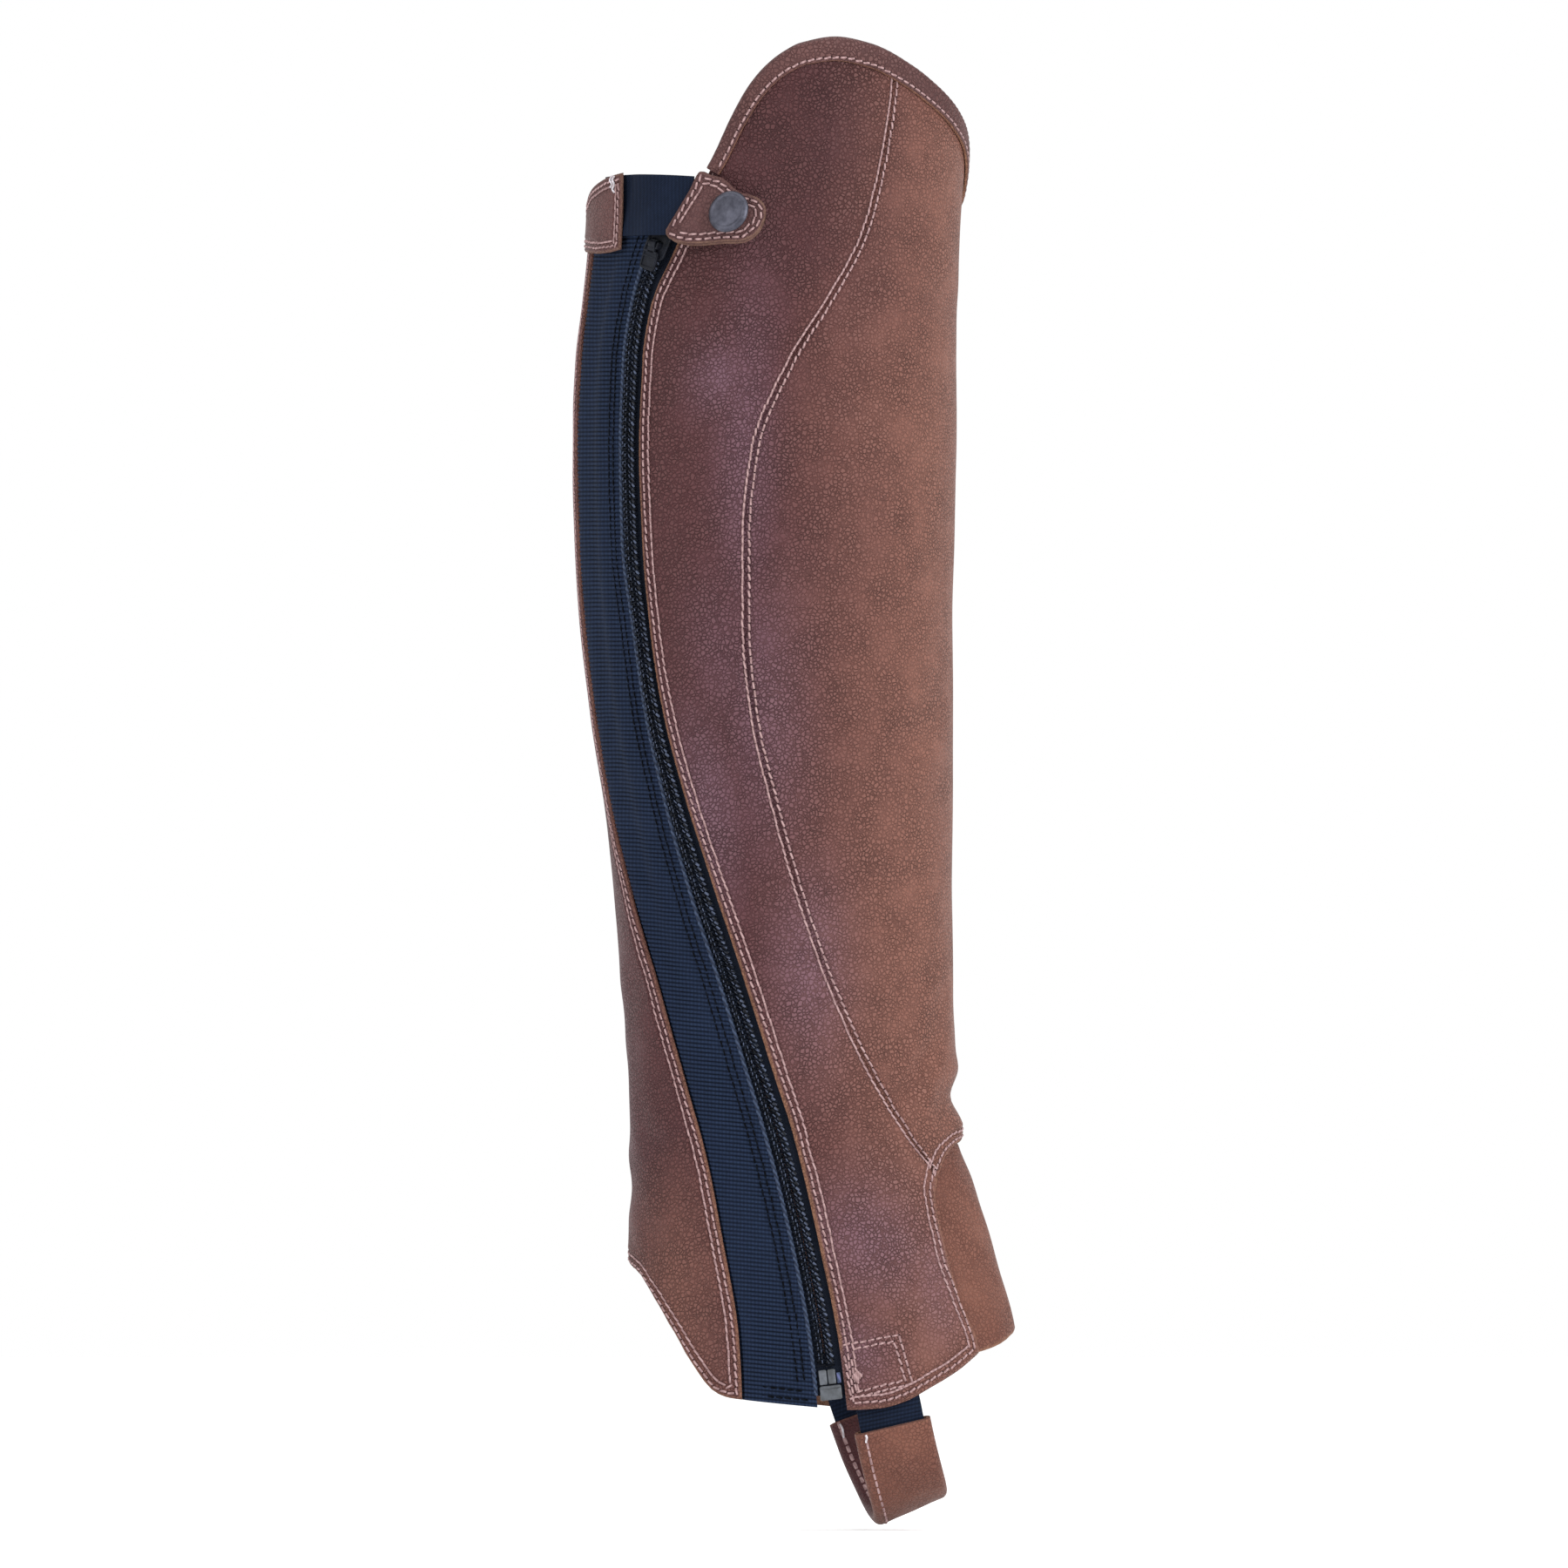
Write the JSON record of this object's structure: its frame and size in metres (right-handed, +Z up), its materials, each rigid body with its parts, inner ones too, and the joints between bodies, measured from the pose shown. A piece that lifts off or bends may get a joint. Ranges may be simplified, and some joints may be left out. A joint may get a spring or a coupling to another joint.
{
  "type": "leather half chap",
  "caption": "Filled-out right half chap: leather gaiter with elastic calf gore, outer zip, snap tab, instep gusset and strap under the foot.",
  "frame": {"origin": "middle of the calf hollow at the calf's widest height, where the wearer's leg holds the chap up", "axes": "+X towards the shin, -Y the outer side with the zip, +Z up the leg"},
  "size_m": [0.1498, 0.1256, 0.5032],
  "materials": {
    "leather": "brown grained leather with a soft sheen",
    "gusset_leather": "softer, smoother brown leather",
    "elastic": "ribbed navy elastic",
    "zip_tape": "dark woven tape",
    "zip_coil": "dark nylon coil",
    "zip_end_metal": "grey pressed metal",
    "slider_paint": "black painted metal",
    "snap_metal": "gunmetal"
  },
  "bodies": {
    "root": {"outer_panel_skirt": "leather", "outer_panel_ankle": "leather", "outer_panel_calf": "leather", "outer_panel_knee": "leather", "inner_panel": "leather", "instep_gusset": "gusset_leather", "top_binding": "leather", "corner_patch": "leather", "elastic_gore_ankle": "elastic", "elastic_gore_calf": "elastic", "elastic_gore_knee": "elastic", "snap_band": "elastic", "snap_tab_back": "leather", "snap_tab_face": "leather", "snap_cap": "snap_metal", "snap_socket": "snap_metal", "snap_stud": "snap_metal", "zip_tape_back": "zip_tape", "zip_tape_front": "zip_tape", "zip_coil_back": "zip_coil", "zip_coil_front": "zip_coil", "zip_pin_back": "zip_end_metal", "zip_pin_front": "zip_end_metal", "zip_box": "zip_end_metal", "zip_slider": "slider_paint", "strap_elastic": "elastic", "strap_sleeve": "leather"},
    "pull": {"zip_pull": "slider_paint"}
  },
  "joints": [
    {"name": "pull_hinge", "type": "hinge", "parent": "root", "child": "pull", "pos_m": [-0.03725, -0.04799, 0.07938], "axis": [-0.7475, 0.5127, 0.4224], "range_deg": [0, 100]}
  ]
}
